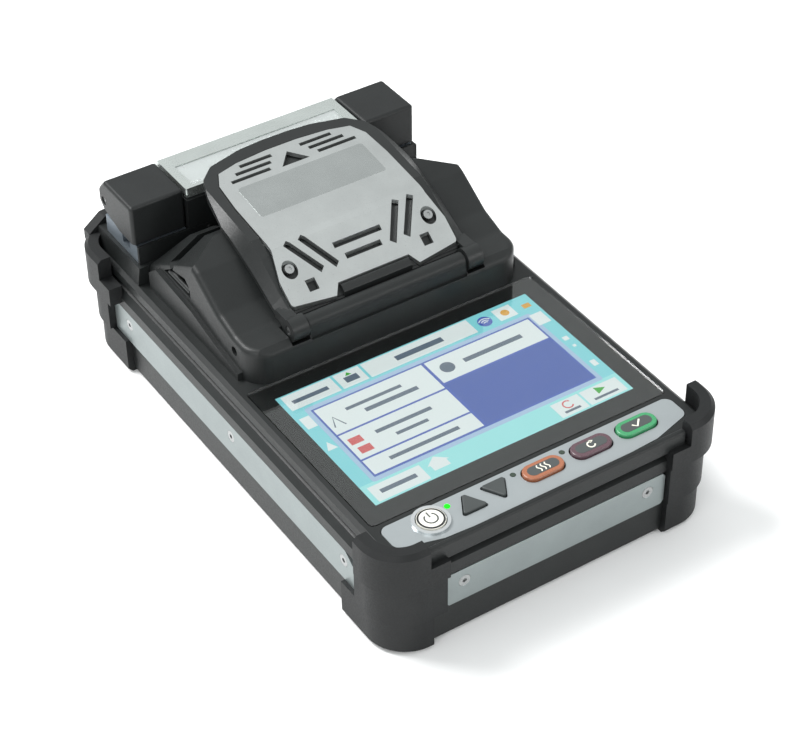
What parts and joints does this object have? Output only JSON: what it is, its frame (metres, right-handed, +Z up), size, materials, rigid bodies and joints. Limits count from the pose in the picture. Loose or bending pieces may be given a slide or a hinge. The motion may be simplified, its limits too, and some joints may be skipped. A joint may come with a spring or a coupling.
{
  "type": "fiber fusion splicer",
  "caption": "Handheld fibre-optic fusion splicer: rubber-cornered box with a touch display, keys, a hinged wind cover over the splice stage and a sleeve heater behind it.",
  "frame": {"origin": "centre of the bounding box's bottom face, on the surface the four rubber feet stand on", "axes": "+X to the user's right, +Y from the user to the rear with the heater, +Z up"},
  "size_m": [0.131, 0.201, 0.0766],
  "materials": {
    "case_black": "fine grained moulding",
    "bumper_rubber": "matt rubber",
    "strip_metal": "satin anodised",
    "screw_steel": "satin steel",
    "insert_brass": "machined",
    "screen_glass": "clear display cover glass",
    "screen_module": "display module, lit picture in the visual model",
    "key_panel_grey": "satin",
    "power_chrome": "polished",
    "power_white": "satin",
    "arrow_dark": "satin",
    "heat_orange": "satin",
    "reset_purple": "satin",
    "set_green": "satin",
    "lamp_green": "clear lamp",
    "cover_black": "fine grained moulding",
    "cover_silver": "satin brushed",
    "stage_steel": "machined",
    "block_ceramic": "fine ground",
    "electrode_metal": "ground tips",
    "lens_black": "glossy",
    "clamp_black": "fine grained moulding",
    "heater_metal": "satin",
    "bracket_metal": "satin anodised",
    "heater_glass": "clear window",
    "port_metal": "plated",
    "board_green": "circuit board"
  },
  "bodies": {
    "case": {"lower_case": "case_black", "upper_case": "case_black", "splice_housing": "case_black", "strap_bars": "case_black", "corner_bumper_front_left": "bumper_rubber", "corner_bumper_front_right": "bumper_rubber", "corner_bumper_rear_left": "bumper_rubber", "corner_bumper_rear_right": "bumper_rubber", "corner_guard_front_left": "bumper_rubber", "corner_guard_front_right": "bumper_rubber", "corner_guard_rear_left": "bumper_rubber", "corner_guard_rear_right": "bumper_rubber", "keypad_mat": "bumper_rubber", "side_strip_left": "strip_metal", "side_strip_right": "strip_metal", "front_strip": "strip_metal", "strip_screws": "screw_steel", "case_screws": "screw_steel", "cover_hinge_pin": "screw_steel", "heater_rod": "screw_steel", "tripod_insert": "insert_brass", "display_glass": "screen_glass", "display_module": "screen_module", "key_panel": "key_panel_grey", "power_bezel": "power_chrome", "indicator_lamps": "lamp_green", "stage_plate": "stage_steel", "electrode_holders": "stage_steel", "v_groove_blocks": "block_ceramic", "electrodes": "electrode_metal", "objectives": "lens_black", "heater_base": "clamp_black", "heater_element": "heater_metal", "heater_brackets": "bracket_metal", "dc_jack": "port_metal", "usb_socket": "port_metal", "circuit_boards": "board_green"},
    "cover": {"cover_frame": "cover_black", "cover_plate": "cover_silver", "cover_tray": "cover_black", "cover_screws": "screw_steel", "cover_seal": "bumper_rubber"},
    "heater_lid": {"heater_lid": "heater_metal", "heater_window": "heater_glass"},
    "heater_clamp_left": {"heater_clamp_left": "clamp_black"},
    "heater_clamp_right": {"heater_clamp_right": "clamp_black"},
    "fibre_stage_left": {"fibre_stage_left": "stage_steel"},
    "fibre_stage_right": {"fibre_stage_right": "stage_steel"},
    "sheath_clamp_left": {"sheath_clamp_left": "clamp_black"},
    "sheath_clamp_right": {"sheath_clamp_right": "clamp_black"},
    "power_button": {"power_button": "power_white"},
    "up_key": {"up_key": "arrow_dark"},
    "down_key": {"down_key": "arrow_dark"},
    "heat_key": {"heat_key": "heat_orange"},
    "reset_key": {"reset_key": "reset_purple"},
    "set_key": {"set_key": "set_green"},
    "battery": {"battery_pack": "clamp_black", "battery_end_plate": "strip_metal"},
    "battery_latch": {"battery_latch": "clamp_black"},
    "port_cover": {"port_cover": "bumper_rubber"}
  },
  "joints": [
    {"name": "cover_hinge", "type": "hinge", "parent": "case", "child": "cover", "pos_m": [0, 0, 0.0542], "axis": [1, 0, 0], "range_deg": [0, 105]},
    {"name": "heater_lid_hinge", "type": "hinge", "parent": "case", "child": "heater_lid", "pos_m": [0, 0.0885, 0.061], "axis": [-1, 0, 0], "range_deg": [0, 85]},
    {"name": "heater_clamp_left_hinge", "type": "hinge", "parent": "case", "child": "heater_clamp_left", "pos_m": [-0.0464, 0.0885, 0.061], "axis": [-1, 0, 0], "range_deg": [0, 85]},
    {"name": "heater_clamp_right_hinge", "type": "hinge", "parent": "case", "child": "heater_clamp_right", "pos_m": [0.0464, 0.0885, 0.061], "axis": [-1, 0, 0], "range_deg": [0, 85]},
    {"name": "fibre_stage_left_slide", "type": "slide", "parent": "case", "child": "fibre_stage_left", "axis": [1, 0, 0], "range_m": [-0.0012, 0.0012]},
    {"name": "sheath_clamp_left_hinge", "type": "hinge", "parent": "fibre_stage_left", "child": "sheath_clamp_left", "pos_m": [-0.0194, 0.0556, 0.0556], "axis": [-1, 0, 0], "range_deg": [0, 80]},
    {"name": "fibre_stage_right_slide", "type": "slide", "parent": "case", "child": "fibre_stage_right", "axis": [1, 0, 0], "range_m": [-0.0012, 0.0012]},
    {"name": "sheath_clamp_right_hinge", "type": "hinge", "parent": "fibre_stage_right", "child": "sheath_clamp_right", "pos_m": [0.0194, 0.0556, 0.0556], "axis": [-1, 0, 0], "range_deg": [0, 80]},
    {"name": "power_button_press", "type": "slide", "parent": "case", "child": "power_button", "axis": [0, 0, -1], "range_m": [0, 0.0006], "stiffness_N_per_m": 1500},
    {"name": "up_key_press", "type": "slide", "parent": "case", "child": "up_key", "axis": [0, 0, -1], "range_m": [0, 0.0006], "stiffness_N_per_m": 1500},
    {"name": "down_key_press", "type": "slide", "parent": "case", "child": "down_key", "axis": [0, 0, -1], "range_m": [0, 0.0006], "stiffness_N_per_m": 1500},
    {"name": "heat_key_press", "type": "slide", "parent": "case", "child": "heat_key", "axis": [0, 0, -1], "range_m": [0, 0.0006], "stiffness_N_per_m": 1500},
    {"name": "reset_key_press", "type": "slide", "parent": "case", "child": "reset_key", "axis": [0, 0, -1], "range_m": [0, 0.0006], "stiffness_N_per_m": 1500},
    {"name": "set_key_press", "type": "slide", "parent": "case", "child": "set_key", "axis": [0, 0, -1], "range_m": [0, 0.0006], "stiffness_N_per_m": 1500},
    {"name": "battery_slide", "type": "slide", "parent": "case", "child": "battery", "axis": [0, 1, 0], "range_m": [0, 0.075]},
    {"name": "battery_latch_slide", "type": "slide", "parent": "battery", "child": "battery_latch", "axis": [1, 0, 0], "range_m": [0, 0.004], "stiffness_N_per_m": 300},
    {"name": "port_cover_hinge", "type": "hinge", "parent": "case", "child": "port_cover", "pos_m": [0, 0.098, 0.02875], "axis": [-1, 0, 0], "range_deg": [0, 95]}
  ]
}
